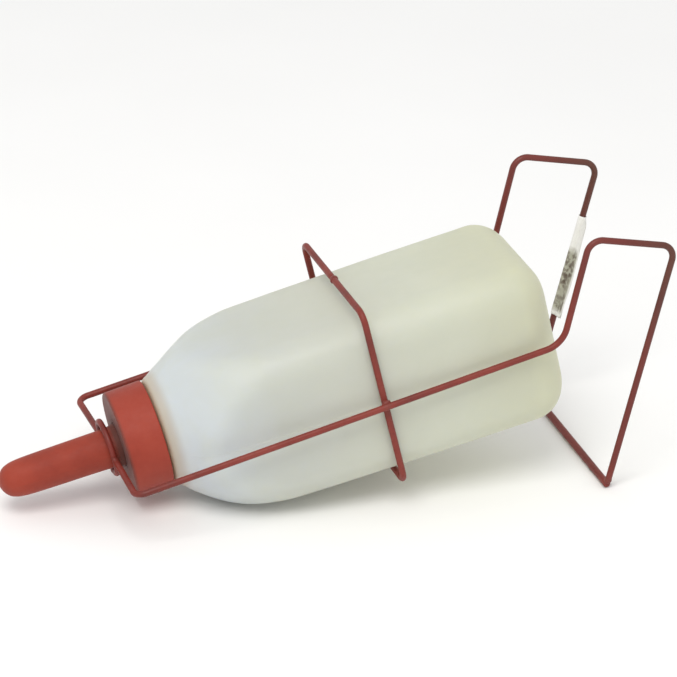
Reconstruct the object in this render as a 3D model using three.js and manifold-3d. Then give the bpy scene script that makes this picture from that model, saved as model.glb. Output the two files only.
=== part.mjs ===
// Calf feeding bottle in its wire hanging rack.
//
// The bottle is a square-bodied, round-shouldered blow-moulded bottle with a
// screw neck. A rubber teat sits on the neck with its flange clamped by a
// smooth-sided screw collar. The bottle lies nose-down in a rack of bent and
// welded wire: two side wires (each runs from the teat ring out to a front
// corner, back along the bottle, up and over as a hook, and down to the rear
// cross wire), a ring round the teat and a rectangular band round the body.
//
// Millimetres, +Z up. The finished part stands on the surface it rests on, on
// the rear cross wire and the bottle's lower front shoulder, nose towards -X,
// with its origin at the bottom centre of its bounding box. The geometry is
// written in the rack's own frame: x along the side wires from the teat ring
// towards the hooks, y to the right-hand side (seen from the nose: left of the
// viewer is +y), z square to both, origin at the centre of the teat ring.

import * as THREE from 'three';
import { mergeVertices } from 'three/addons/utils/BufferGeometryUtils.js';
import Module from 'manifold-3d';

const wasm = await Module();
wasm.setup();

// ---------------------------------------------------------------- dimensions
const WIRE_D = 4.2;             // side wires and band, coated
const CROSS_D = 4.8;            // rear cross wire, coated
const RING_WIRE_D = 3.8;        // teat ring wire
const RACK_HALF = 67.0;         // centre plane to side wire centre line
const RACK_L = 280.1;           // teat ring plane to the rise of the hooks
const HOOK_IN = [310.8, 63.6];  // x, z of the front top corner of a hook
const HOOK_OUT = [363.5, 38.9]; // x, z of the rear top corner of a hook
const HOOK_FOOT = [289.8, -108.2]; // x, z of the rear cross wire
const RIGHT_FRONT_OFF = [-1.8, 1.6];  // the hand-bent right side differs a little
const RIGHT_HOOK_OFF = [1.6, -0.5];   // from the left, x and z
const BEND_FRONT = 6.5;         // bend radii on the centre line
const BEND_RISE = 17.0;
const BEND_HOOK = 9.0;

const RING_R = 16.9;            // teat ring, centre line radius

const BAND_X = 163.7;           // body band
const BAND_HALF_Y = 61.9;
const BAND_HALF_Z = 59.5;
const BAND_Z = -0.5;
const BAND_BEND = 8.0;
const BAND_SEAM_Y = -3.0;       // where the band's two ends meet
const BAND_SEAM_GAP = 1.2;
const ROLL = -2.87;             // the band and the bottle in it lean, degrees

const GAP = 0.35;               // clearance between pieces that touch
const WELD_R = 3.0;

const AXIS_AT_RING = [-0.4, -0.35];      // bottle axis at the teat ring, y and z
const AXIS_SLOPE = [-0.0180, -0.0095];  // its drift in y and z per mm of x
const BODY_OFF = [-2.6, -2.45];         // body centre from the neck's axis, y and z

// bottle, along its own axis from the plane of the teat ring
const LIP_X = 13.8;
const MOUTH_R = 25.4;
const LIP_R = 27.6;
const NECK_R = 28.1;
const NECK_END_X = 31.4;
const BASE_X = 283.0;
const BASE_FILLET = 23.0;
const BASE_PUSH = 1.6;          // depth of the push-up in the base
const BODY_CORNER_R = 20.0;
const WALL = 1.8;

const THREAD_PITCH = 4.0;
const THREAD_H = 1.5;
const THREAD_W = 1.3;
const THREAD_TURNS = 1.6;

// screw collar
const CAP_FRONT_X = 7.2;
const CAP_REAR_X = 31.5;
const CAP_R = 33.9;             // at the rear; the front is a little smaller
const CAP_DRAFT = 0.6;
const CAP_WALL = 3.3;
const CAP_FACE = 3.0;
const CAP_HOLE_R = 14.2;

// teat
const TEAT_TIP_X = -71.0;
const TEAT_FLANGE_R = 29.0;
const TEAT_FLANGE_T = 2.9;
const TEAT_COLLAR_R = 13.7;

// paper tag on the right-hand hook
const TAG_FROM = 37.0;          // along the outer leg from the hook's top corner
const TAG_LEN = 70.0;
const TAG_FLAG = 8.0;
const TAG_T = 0.6;

// ------------------------------------------------------------------- colours
const paint = () => new THREE.MeshStandardMaterial({ color: 0x9c3430, roughness: 0.42, metalness: 0.0 });
const bead = () => new THREE.MeshStandardMaterial({ color: 0x8c2f2b, roughness: 0.5, metalness: 0.0 });
const rubber = () => new THREE.MeshStandardMaterial({ color: 0xb04434, roughness: 0.6, metalness: 0.0 });
const capRed = () => new THREE.MeshStandardMaterial({ color: 0xb34a3a, roughness: 0.55, metalness: 0.0 });
const milky = () => new THREE.MeshStandardMaterial({ color: 0xd6d9c8, roughness: 0.4, metalness: 0.0 });
const paper = () => new THREE.MeshStandardMaterial({ color: 0xcfcdc4, roughness: 0.8, metalness: 0.0 });

// ------------------------------------------------------------------- helpers
const V = (x, y, z) => new THREE.Vector3(x, y, z);
const rad = THREE.MathUtils.degToRad;

// A curve that visits given stations exactly, one per step.
class StationCurve extends THREE.Curve {
  constructor(points, tangents) {
    super();
    this.pts = points;
    this.tan = tangents;
  }
  index(u) {
    return Math.max(0, Math.min(this.pts.length - 1, Math.round(u * (this.pts.length - 1))));
  }
  getPoint(u, target = new THREE.Vector3()) { return target.copy(this.pts[this.index(u)]); }
  getPointAt(u, target) { return this.getPoint(u, target); }
  getTangent(u, target = new THREE.Vector3()) { return target.copy(this.tan[this.index(u)]); }
  getTangentAt(u, target) { return this.getTangent(u, target); }
}

// Stations along straight runs joined by bends of the given radius.
function bentPath(corners, radii, arcSteps) {
  const pts = [corners[0].clone()];
  const tan = [corners[1].clone().sub(corners[0]).normalize()];
  for (let i = 1; i < corners.length - 1; i++) {
    const a = corners[i].clone().sub(corners[i - 1]).normalize();
    const b = corners[i + 1].clone().sub(corners[i]).normalize();
    const turn = Math.acos(THREE.MathUtils.clamp(a.dot(b), -1, 1));
    const r = radii[i - 1];
    const cut = r * Math.tan(turn / 2);
    const start = corners[i].clone().addScaledVector(a, -cut);
    const side = b.clone().addScaledVector(a, -a.dot(b)).normalize();
    const steps = Math.max(2, Math.round(arcSteps * turn / (Math.PI / 2)));
    for (let k = 0; k <= steps; k++) {
      const f = (turn * k) / steps;
      pts.push(start.clone().addScaledVector(a, r * Math.sin(f)).addScaledVector(side, r * (1 - Math.cos(f))));
      tan.push(a.clone().multiplyScalar(Math.cos(f)).addScaledVector(side, Math.sin(f)));
    }
  }
  const n = corners.length;
  pts.push(corners[n - 1].clone());
  tan.push(corners[n - 1].clone().sub(corners[n - 2]).normalize());
  return new StationCurve(pts, tan);
}

function disc(radius, sides) {
  const s = new THREE.Shape();
  for (let i = 0; i < sides; i++) {
    const f = (2 * Math.PI * (i + 0.5)) / sides;
    if (i === 0) s.moveTo(radius * Math.cos(f), radius * Math.sin(f));
    else s.lineTo(radius * Math.cos(f), radius * Math.sin(f));
  }
  s.closePath();
  return s;
}

function wire(curve, diameter, sides = 12) {
  return new THREE.ExtrudeGeometry(disc(diameter / 2, sides), {
    steps: curve.pts.length - 1, extrudePath: curve, bevelEnabled: false, curveSegments: 1,
  });
}

function clean(geometry) {
  const g = geometry.index ? geometry.toNonIndexed() : geometry.clone();
  for (const name of Object.keys(g.attributes)) if (name !== 'position') g.deleteAttribute(name);
  return mergeVertices(g, 1e-4);
}

function toSolid(geometry) {
  const g = clean(geometry);
  return new wasm.Manifold(new wasm.Mesh({
    numProp: 3,
    vertProperties: new Float32Array(g.attributes.position.array),
    triVerts: new Uint32Array(g.index.array),
  }));
}

function toGeometry(solid) {
  const m = solid.getMesh();
  const g = new THREE.BufferGeometry();
  const np = m.numProp;
  const pos = new Float32Array((m.vertProperties.length / np) * 3);
  for (let i = 0; i < pos.length / 3; i++) for (let k = 0; k < 3; k++) pos[3 * i + k] = m.vertProperties[np * i + k];
  g.setAttribute('position', new THREE.BufferAttribute(pos, 3));
  g.setIndex(new THREE.BufferAttribute(new Uint32Array(m.triVerts), 1));
  return g;
}

// A cylinder between two points, a little outside the true round.
function rod(from, to, radius, sides = 16) {
  const axis = to.clone().sub(from);
  const g = new THREE.CylinderGeometry(radius / Math.cos(Math.PI / sides), radius / Math.cos(Math.PI / sides), axis.length(), sides);
  const q = new THREE.Quaternion().setFromUnitVectors(V(0, 1, 0), axis.clone().normalize());
  g.applyQuaternion(q);
  const mid = from.clone().add(to).multiplyScalar(0.5);
  g.translate(mid.x, mid.y, mid.z);
  return g;
}

// Rings of points joined into one closed skin. Each ring has the same count;
// a ring of one point is a pole.
function skin(rings) {
  const pos = [];
  const first = [];
  for (const ring of rings) {
    first.push(pos.length / 3);
    for (const p of ring) pos.push(p.x, p.y, p.z);
  }
  const idx = [];
  for (let i = 0; i + 1 < rings.length; i++) {
    const a = rings[i], b = rings[i + 1], A = first[i], B = first[i + 1];
    const n = Math.max(a.length, b.length);
    for (let k = 0; k < n; k++) {
      const k1 = (k + 1) % n;
      if (a.length === 1) idx.push(A, B + k1, B + k);
      else if (b.length === 1) idx.push(A + k, A + k1, B);
      else {
        idx.push(A + k, A + k1, B + k);
        idx.push(A + k1, B + k1, B + k);
      }
    }
  }
  const g = new THREE.BufferGeometry();
  g.setAttribute('position', new THREE.Float32BufferAttribute(pos, 3));
  g.setIndex(idx);
  return g;
}

// Piecewise linear table look-up.
function table(rows, x, column) {
  if (x <= rows[0][0]) return rows[0][column];
  for (let i = 0; i + 1 < rows.length; i++) {
    if (x <= rows[i + 1][0]) {
      const f = (x - rows[i][0]) / (rows[i + 1][0] - rows[i][0]);
      return rows[i][column] * (1 - f) + rows[i + 1][column] * f;
    }
  }
  return rows[rows.length - 1][column];
}

// A profile of [x, r] points turned about the x axis.
function turned(profile, segments) {
  const g = new THREE.LatheGeometry(profile.map(([x, r]) => new THREE.Vector2(r, x)), segments);
  g.rotateZ(-Math.PI / 2);   // lathe axis y becomes x
  return g;
}

function makeMesh(name, geometry, material) {
  const m = new THREE.Mesh(geometry, material);
  m.name = name;
  return m;
}

// ---------------------------------------------------------------- the rack
const rack = new THREE.Group();

const ringOuter = RING_R + RING_WIRE_D / 2;

function sideWire(side) {
  const y = side * RACK_HALF;
  const front = side > 0 ? RIGHT_FRONT_OFF : [0, 0];
  const hook = side > 0 ? RIGHT_HOOK_OFF : [0, 0];
  const top = V(HOOK_OUT[0] + hook[0], y, HOOK_OUT[1] + hook[1]);
  const foot = V(HOOK_FOOT[0], y, HOOK_FOOT[1]);
  foot.addScaledVector(foot.clone().sub(top).normalize(), -(CROSS_D / 2 + GAP));
  const corners = [
    V(0, side * (ringOuter + GAP), 0),
    V(front[0], y, front[1]),
    V(RACK_L + hook[0], y, 0),
    V(HOOK_IN[0] + hook[0], y, HOOK_IN[1] + hook[1]),
    top,
    foot,
  ];
  return wire(bentPath(corners, [BEND_FRONT, BEND_RISE, BEND_HOOK, BEND_HOOK], 6), WIRE_D);
}
rack.add(makeMesh('frame_wire_left', sideWire(-1), paint()));
rack.add(makeMesh('frame_wire_right', sideWire(1), paint()));

const crossEnd = RACK_HALF + 0.3;
const crossWire = wire(new StationCurve(
  [V(HOOK_FOOT[0], -crossEnd, HOOK_FOOT[1]), V(HOOK_FOOT[0], crossEnd, HOOK_FOOT[1])],
  [V(0, 1, 0), V(0, 1, 0)]), CROSS_D, 16);
rack.add(makeMesh('rear_cross_wire', crossWire, paint()));

const ringGeometry = new THREE.TorusGeometry(RING_R, RING_WIRE_D / 2, 10, 32);
ringGeometry.rotateY(Math.PI / 2);
rack.add(makeMesh('teat_ring', ringGeometry, paint()));

// The band, an open rectangle whose ends meet in the middle of the top.
const bandPlace = new THREE.Matrix4().makeRotationX(rad(ROLL)).setPosition(BAND_X, 0, BAND_Z);
const bandCorners = [
  [BAND_SEAM_Y + BAND_SEAM_GAP / 2, BAND_HALF_Z],
  [BAND_HALF_Y, BAND_HALF_Z],
  [BAND_HALF_Y, -BAND_HALF_Z],
  [-BAND_HALF_Y, -BAND_HALF_Z],
  [-BAND_HALF_Y, BAND_HALF_Z],
  [BAND_SEAM_Y - BAND_SEAM_GAP / 2, BAND_HALF_Z],
].map(([y, z]) => V(0, y, z).applyMatrix4(bandPlace));
rack.add(makeMesh('body_band',
  wire(bentPath(bandCorners, [BAND_BEND, BAND_BEND, BAND_BEND, BAND_BEND], 6), WIRE_D), paint()));

const seam = rod(V(0, BAND_SEAM_Y - 0.25, BAND_HALF_Z), V(0, BAND_SEAM_Y + 0.25, BAND_HALF_Z), WIRE_D / 2 + 0.45);
seam.applyMatrix4(bandPlace);
rack.add(makeMesh('weld_band_seam', seam, bead()));

// Weld beads: a lump cut clear of the wires that it joins.
function weldLump(centre, radius, cutters) {
  const lump = new THREE.IcosahedronGeometry(radius, 2);
  lump.translate(centre.x, centre.y, centre.z);
  let solid = toSolid(lump);
  for (const c of cutters) solid = solid.subtract(toSolid(c));
  return toGeometry(solid);
}
const clear = WIRE_D / 2 + 0.3;

for (const [name, side] of [['weld_ring_left', -1], ['weld_ring_right', 1]]) {
  const ringCut = new THREE.TorusGeometry(RING_R, (RING_WIRE_D / 2 + 0.3) / Math.cos(Math.PI / 16), 16, 48);
  ringCut.rotateY(Math.PI / 2);
  const off = side > 0 ? RIGHT_FRONT_OFF : [0, 0];
  const bar = V(off[0], side * (RACK_HALF - ringOuter - GAP), off[1]).normalize();
  const end = V(0, side * (ringOuter + GAP), 0);
  rack.add(makeMesh(name, weldLump(V(0, side * (ringOuter + 0.15), 0), WELD_R, [
    rod(end.clone().addScaledVector(bar, -0.3), end.clone().addScaledVector(bar, 20), clear),
    ringCut,
  ]), bead()));
}

const up = V(0, 0, 1).applyAxisAngle(V(1, 0, 0), rad(ROLL));
for (const [name, side] of [['weld_band_left', -1], ['weld_band_right', 1]]) {
  const leg = V(0, side * BAND_HALF_Y, 0).applyMatrix4(bandPlace);
  // where the band's leg passes the side wire's height
  const at = leg.clone().addScaledVector(up, -leg.z / up.z);
  const off = side > 0 ? RIGHT_FRONT_OFF : [0, 0];
  const rail = (x) => V(x, side * RACK_HALF, off[1] * (1 - (x - off[0]) / (RACK_L - off[0])));
  const mid = V(BAND_X, (at.y + side * RACK_HALF) / 2, rail(BAND_X).z);
  rack.add(makeMesh(name, weldLump(mid, 3.5, [
    rod(rail(BAND_X - 20), rail(BAND_X + 20), clear),
    rod(at.clone().addScaledVector(up, -20), at.clone().addScaledVector(up, 20), clear),
  ]), bead()));
}

for (const [name, side] of [['weld_rear_left', -1], ['weld_rear_right', 1]]) {
  const foot = V(HOOK_FOOT[0], side * RACK_HALF, HOOK_FOOT[1]);
  const hook = side > 0 ? RIGHT_HOOK_OFF : [0, 0];
  const dir = foot.clone().sub(V(HOOK_OUT[0] + hook[0], side * RACK_HALF, HOOK_OUT[1] + hook[1])).normalize();
  const end = foot.clone().addScaledVector(dir, -(CROSS_D / 2 + GAP - 0.3));
  rack.add(makeMesh(name, weldLump(foot.clone().addScaledVector(dir, -(CROSS_D / 2 + 0.1)), 3.2, [
    rod(end, end.clone().addScaledVector(dir, -20), clear),
    rod(V(foot.x, -80, foot.z), V(foot.x, 80, foot.z), CROSS_D / 2 + 0.3),
  ]), bead()));
}

// Paper tag folded round the outer leg of the right-hand hook, its two free
// ends glued together as a flag that points inwards.
{
  const inner = WIRE_D / 2 + 0.35;
  const outer = inner + TAG_T;
  const shape = new THREE.Shape();
  const half = TAG_T * 0.75;
  const open = Math.asin(half / outer);
  const n = 20;
  for (let i = 0; i <= n; i++) {
    const f = open + ((2 * Math.PI - 2 * open) * i) / n;
    const x = outer * Math.cos(f), y = outer * Math.sin(f);
    if (i === 0) shape.moveTo(x, y); else shape.lineTo(x, y);
  }
  shape.lineTo(outer + TAG_FLAG, -half);
  shape.lineTo(outer + TAG_FLAG, half);
  shape.closePath();
  const hole = new THREE.Path();
  for (let i = 0; i < 16; i++) {
    const f = (-2 * Math.PI * i) / 16;
    if (i === 0) hole.moveTo(inner / Math.cos(Math.PI / 16), 0);
    else hole.lineTo(inner / Math.cos(Math.PI / 16) * Math.cos(f), inner / Math.cos(Math.PI / 16) * Math.sin(f));
  }
  hole.closePath();
  shape.holes.push(hole);
  const g = new THREE.ExtrudeGeometry(shape, { depth: TAG_LEN, steps: 1, bevelEnabled: false, curveSegments: 1 });
  // local z along the leg, local x (the flag) towards the rack's middle
  const top = V(HOOK_OUT[0] + RIGHT_HOOK_OFF[0], RACK_HALF, HOOK_OUT[1] + RIGHT_HOOK_OFF[1]);
  const z = V(HOOK_FOOT[0], RACK_HALF, HOOK_FOOT[1]).sub(top).normalize();
  const x = V(0, -1, 0);
  const y = z.clone().cross(x).normalize();
  const start = top.clone().addScaledVector(z, TAG_FROM);
  g.applyMatrix4(new THREE.Matrix4().makeBasis(x, y, z).setPosition(start));
  rack.add(makeMesh('label_tag', g, paper()));
}

// ---------------------------------------------------------------- the bottle
// Bottle, teat and screw collar share the bottle's own axis.
const bottleGroup = new THREE.Group();
bottleGroup.position.set(0, AXIS_AT_RING[0], AXIS_AT_RING[1]);
{
  const d = V(1, AXIS_SLOPE[0], AXIS_SLOPE[1]).normalize();
  bottleGroup.rotation.order = 'ZYX';
  bottleGroup.rotation.set(rad(ROLL), Math.asin(-d.z), Math.atan2(d.y, d.x));
}

// radius of the turned neck and shoulder
const DOME = [
  [LIP_X, LIP_R], [NECK_END_X, NECK_R], [32.0, 31.4], [33.6, 33.4], [37.0, 36.0], [41.0, 39.4], [47.0, 43.8],
  [52.0, 47.4], [57.0, 50.6], [62.0, 53.5], [67.0, 56.2], [72.0, 58.5], [77.0, 60.5],
  [82.0, 62.3], [87.0, 64.0], [93.0, 66.4], [100.0, 70.0], [110.0, 78.0],
];
// how far the section has moved from the neck's centre to the body's
const SHIFT = [[33.0, 0.0], [37.0, 0.18], [41.0, 0.42], [47.0, 0.68], [52.0, 0.82], [62.0, 0.96], [72.0, 1.0]];
// half width across the flats
const BODY = [
  [40.0, 50.6], [60.0, 50.8], [88.0, 51.6], [130.0, 52.4], [164.0, 52.8], [190.0, 53.1],
  [240.0, 53.4], [BASE_X, 53.5],
];
const SECTION_N = 40;

function squareRadius(angle, a, r) {
  let c = Math.abs(Math.cos(angle)), s = Math.abs(Math.sin(angle));
  if (s > c) [c, s] = [s, c];
  const b = a - r;
  if (a * (s / c) <= b) return a / c;
  return b * (c + s) + Math.sqrt(Math.max(0, b * b * (c + s) * (c + s) - 2 * b * b + r * r));
}
function softMin(p, q, k) {
  const h = Math.max(k - Math.abs(p - q), 0) / k;
  return Math.min(p, q) - (h * h * k) / 4;
}
function section(x, a, r, dome) {
  const ring = [];
  for (let i = 0; i < SECTION_N; i++) {
    const f = (2 * Math.PI * i) / SECTION_N;
    let rho = dome;
    if (a !== null) rho = softMin(dome, squareRadius(f, a, r), 5);
    const k = table(SHIFT, x, 1);
    ring.push(V(x, rho * Math.cos(f) + k * BODY_OFF[0], rho * Math.sin(f) + k * BODY_OFF[1]));
  }
  return ring;
}
function circle(x, r) { return section(x, null, 0, r); }
function pole(x) { return [V(x, table(SHIFT, x, 1) * BODY_OFF[0], table(SHIFT, x, 1) * BODY_OFF[1])]; }

const rings = [];
const pushU = BASE_X - BASE_PUSH;
// outside, from the middle of the base to the mouth
rings.push(pole(pushU));
rings.push(circle(pushU, 25.0));
rings.push(circle(BASE_X, 28.0));
const filletCut = [10.0, 6.17, 2.93, 0.76, 0.0];
const filletBack = [0.0, 0.76, 2.93, 6.17, 10.0];
for (let i = 0; i < filletCut.length; i++) {
  const k = BASE_FILLET / 10;
  const x = BASE_X - filletBack[i] * k;
  const d = filletCut[i] * k;
  rings.push(section(x, table(BODY, x, 1) - d, BODY_CORNER_R - 0.6 * d, 200));
}
for (const x of [225, 180, 130, 100, 93, 87, 82, 77, 72, 67, 62, 57, 52, 47, 41]) {
  rings.push(section(x, table(BODY, x, 1), BODY_CORNER_R, table(DOME, x, 1)));
}
for (const x of [37.0, 33.6, 32.0, NECK_END_X]) rings.push(circle(x, table(DOME, x, 1)));
rings.push(circle(LIP_X + 1.2, NECK_R));
rings.push(circle(LIP_X, LIP_R));
// over the lip and down the inside
rings.push(circle(LIP_X, MOUTH_R + 0.4));
rings.push(circle(LIP_X + 0.6, MOUTH_R));
rings.push(circle(32.0, MOUTH_R));
rings.push(circle(34.6, 31.0));
for (const x of [40, 48, 56, 64, 72, 80, 88, 96, 112, 150, 225]) {
  rings.push(section(x, table(BODY, x, 1) - WALL, BODY_CORNER_R - WALL, table(DOME, x - 0.6, 1) - 1.3 * WALL));
}
for (let i = filletCut.length - 1; i >= 0; i--) {
  const k = (BASE_FILLET - WALL) / 10;
  const x = BASE_X - WALL - 0.4 - filletBack[i] * k;
  const d = filletCut[i] * k;
  rings.push(section(x, table(BODY, x, 1) - WALL - d, BODY_CORNER_R - WALL - 0.6 * d, 200));
}
rings.push(circle(BASE_X - WALL - 0.4, 29.0));
rings.push(circle(pushU - WALL - 0.4, 26.5));
rings.push(pole(pushU - WALL - 0.4));
let bottleGeometry = skin(rings);

// A screw ridge: right-handed about the outward (-x) axis, start at x0 and
// running outwards. rRoot and rTip are radii; the ridge tapers at its ends.
function ridge(x0, turns, rRoot, rTip, width, start = 0) {
  const steps = Math.round(turns * 30);
  const ringList = [];
  for (let i = 0; i <= steps; i++) {
    const u = i / steps;
    const f = start + 2 * Math.PI * turns * u;
    const x = x0 - THREAD_PITCH * turns * u;
    const grow = Math.min(1, Math.min(u, 1 - u) * turns * 6 + 0.02);
    const tip = rRoot + (rTip - rRoot) * grow;
    const w = width * (0.55 + 0.45 * grow);
    const at = (r, dx) => V(x + dx, r * Math.sin(f), r * Math.cos(f));
    ringList.push([at(rRoot, -w / 2 - 0.3), at(rRoot, w / 2 + 0.3), at(tip, w / 2), at(tip, -w / 2)]);
  }
  const pos = [];
  for (const r of ringList) for (const p of r) pos.push(p.x, p.y, p.z);
  const idx = [];
  for (let i = 0; i < steps; i++) {
    for (let k = 0; k < 4; k++) {
      const a = 4 * i + k, b = 4 * i + ((k + 1) % 4), c = a + 4, d = b + 4;
      idx.push(a, b, c, b, d, c);
    }
  }
  idx.push(0, 2, 1, 0, 3, 2);
  const e = 4 * steps;
  idx.push(e, e + 1, e + 2, e, e + 2, e + 3);
  const g = new THREE.BufferGeometry();
  g.setAttribute('position', new THREE.Float32BufferAttribute(pos, 3));
  g.setIndex(idx);
  return g;
}
function outward(solidGeometry) {
  // flips a closed skin whose faces point inwards
  const p = solidGeometry.attributes.position, ix = solidGeometry.index.array;
  let vol = 0;
  const a = V(), b = V(), c = V();
  for (let i = 0; i < ix.length; i += 3) {
    a.fromBufferAttribute(p, ix[i]); b.fromBufferAttribute(p, ix[i + 1]); c.fromBufferAttribute(p, ix[i + 2]);
    vol += a.dot(b.cross(c));
  }
  if (vol < 0) {
    const out = Array.from(ix);
    for (let i = 0; i < out.length; i += 3) [out[i + 1], out[i + 2]] = [out[i + 2], out[i + 1]];
    solidGeometry.setIndex(out);
  }
  return solidGeometry;
}

bottleGeometry = toGeometry(
  toSolid(outward(bottleGeometry)).add(toSolid(outward(
    ridge(26.2, THREAD_TURNS, NECK_R - 0.5, NECK_R + THREAD_H, THREAD_W)))));
const bottle = makeMesh('bottle', bottleGeometry, milky());
bottleGroup.add(bottle);

// Teat: a hollow rubber nipple with a flange that the collar clamps.
const flangeFront = CAP_FRONT_X + CAP_FACE + GAP;
const flangeRear = flangeFront + TEAT_FLANGE_T;
const teatOut = [
  [TEAT_TIP_X, 1.0], [TEAT_TIP_X + 0.4, 3.0], [-69.6, 5.2], [-67.6, 7.8],
  [-64.8, 9.8], [-60.5, 11.1], [-54.0, 11.8], [-42.0, 12.1], [-5.0, 12.5],
  [3.0, 12.8], [CAP_FRONT_X - 1.2, TEAT_COLLAR_R], [flangeFront, TEAT_COLLAR_R],
  [flangeFront, TEAT_FLANGE_R], [flangeRear, TEAT_FLANGE_R],
  [flangeRear, 11.4],
  [6.0, 9.6], [-45.0, 8.9], [-58.0, 7.6], [-64.0, 4.6], [-66.6, 1.0],
  [TEAT_TIP_X, 1.0],
];
bottleGroup.add(makeMesh('teat', toGeometry(toSolid(turned(teatOut, 36))), rubber()));

// Screw collar: a smooth cup with a hole for the teat and one thread inside.
const bore = CAP_R - CAP_WALL;
const capProfile = [
  [CAP_FRONT_X, CAP_HOLE_R], [CAP_FRONT_X, CAP_R - CAP_DRAFT - 1.8], [CAP_FRONT_X + 0.5, CAP_R - CAP_DRAFT - 0.5],
  [CAP_FRONT_X + 1.8, CAP_R - CAP_DRAFT], [CAP_REAR_X - 0.5, CAP_R], [CAP_REAR_X, CAP_R - 0.5],
  [CAP_REAR_X, bore], [CAP_FRONT_X + CAP_FACE, bore], [CAP_FRONT_X + CAP_FACE, CAP_HOLE_R],
  [CAP_FRONT_X, CAP_HOLE_R],
];
// half a pitch away from the neck's ridge, so the two interleave
const capGeometry = toGeometry(
  toSolid(turned(capProfile, 44)).add(toSolid(outward(
    ridge(26.2 + THREAD_PITCH / 2, THREAD_TURNS, bore + 0.5, bore - 1.4, THREAD_W)))));
bottleGroup.add(makeMesh('cap', capGeometry, capRed()));

rack.add(bottleGroup);

// ------------------------------------------------------- standing on the floor
// The nose-down pitch at which the rear cross wire and the bottle's shoulder
// touch the same flat surface.
rack.updateMatrixWorld(true);
function lowest(mesh, pitch) {
  const s = Math.sin(pitch), c = Math.cos(pitch);
  const p = mesh.geometry.attributes.position;
  const v = V();
  let low = Infinity;
  for (let i = 0; i < p.count; i++) {
    v.fromBufferAttribute(p, i).applyMatrix4(mesh.matrixWorld);
    low = Math.min(low, v.x * s + v.z * c);
  }
  return low;
}
const crossMesh = rack.getObjectByName('rear_cross_wire');
let lo = rad(5), hi = rad(25);
for (let i = 0; i < 60; i++) {
  const mid = (lo + hi) / 2;
  if (lowest(crossMesh, mid) < lowest(bottle, mid)) lo = mid; else hi = mid;
}
const REST_PITCH = (lo + hi) / 2;
rack.rotation.y = -REST_PITCH;

const part = new THREE.Group();
part.add(rack);
part.updateMatrixWorld(true);
const box = new THREE.Box3();
part.traverse((o) => {
  if (!o.isMesh) return;
  const p = o.geometry.attributes.position;
  const v = V();
  for (let i = 0; i < p.count; i++) box.expandByPoint(v.fromBufferAttribute(p, i).applyMatrix4(o.matrixWorld));
});
rack.position.set(-(box.min.x + box.max.x) / 2, -(box.min.y + box.max.y) / 2, -box.min.z);
part.updateMatrixWorld(true);

export default part;
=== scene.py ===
# Calf feeding bottle in its wire hanging rack: fine surfaces and materials
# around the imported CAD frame. Lengths below are in millimetres in the rack's or
# the bottle's own frame, and become metres in the row frame when meshed.
import math

import bpy
import numpy as np
from mathutils import Matrix, Vector, noise


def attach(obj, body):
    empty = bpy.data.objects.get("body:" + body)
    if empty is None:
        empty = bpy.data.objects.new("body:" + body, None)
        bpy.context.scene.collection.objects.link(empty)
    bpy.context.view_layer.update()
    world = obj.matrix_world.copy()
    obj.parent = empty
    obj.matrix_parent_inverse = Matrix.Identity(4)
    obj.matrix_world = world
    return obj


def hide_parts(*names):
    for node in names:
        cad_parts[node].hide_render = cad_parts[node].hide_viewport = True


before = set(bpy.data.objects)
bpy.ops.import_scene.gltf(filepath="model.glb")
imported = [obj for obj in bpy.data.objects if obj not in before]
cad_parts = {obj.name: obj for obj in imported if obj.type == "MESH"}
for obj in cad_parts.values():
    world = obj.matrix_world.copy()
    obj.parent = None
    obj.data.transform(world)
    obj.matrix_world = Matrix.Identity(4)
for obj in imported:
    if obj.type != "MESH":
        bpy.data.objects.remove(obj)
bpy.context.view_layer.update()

scene = bpy.context.scene
scene.view_settings.view_transform = "Standard"
scene.view_settings.look = "None"
scene.view_settings.exposure = 0.0
scene.view_settings.gamma = 1.0

# ------------------------------------------------------------------ the frames
PITCH = math.radians(13.963374231799861)
RACK_AT = (-137.9553586581464, 0.0, 37.470816868728434)
ROLL = math.radians(-2.87)
AXIS_AT_RING = (-0.4, -0.35)
AXIS_SLOPE = (-0.0180, -0.0095)


def metres(m):
    m = m.copy()
    m.translation = m.translation * 0.001
    return m


RACK_MM = Matrix.Translation(RACK_AT) @ Matrix.Rotation(-PITCH, 4, "Y")
_d = Vector((1, AXIS_SLOPE[0], AXIS_SLOPE[1])).normalized()
BOTTLE_MM = (
    RACK_MM
    @ Matrix.Translation((0, AXIS_AT_RING[0], AXIS_AT_RING[1]))
    @ Matrix.Rotation(math.atan2(_d.y, _d.x), 4, "Z")
    @ Matrix.Rotation(math.asin(-_d.z), 4, "Y")
    @ Matrix.Rotation(ROLL, 4, "X")
)
RACK = metres(RACK_MM)
BOTTLE = metres(BOTTLE_MM)

# -------------------------------------------------------------- driving sizes
WIRE_R = 2.07
CROSS_R = 2.37
RING_WIRE_R = 1.9
RING_R = 16.9
RACK_HALF = 67.0
RACK_L = 280.1
HOOK_IN = (310.8, 63.6)
HOOK_OUT = (363.5, 38.9)
HOOK_FOOT = (289.8, -108.2)
RIGHT_FRONT_OFF = (-1.8, 1.6)
RIGHT_HOOK_OFF = (1.6, -0.5)
BENDS = (6.5, 17.0, 9.0, 9.0)
BAND_X, BAND_HALF_Y, BAND_HALF_Z, BAND_Z, BAND_BEND = 163.7, 61.9, 59.5, -0.5, 8.0
BAND_SEAM_Y, BAND_SEAM_GAP = -3.0, 1.2

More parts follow.
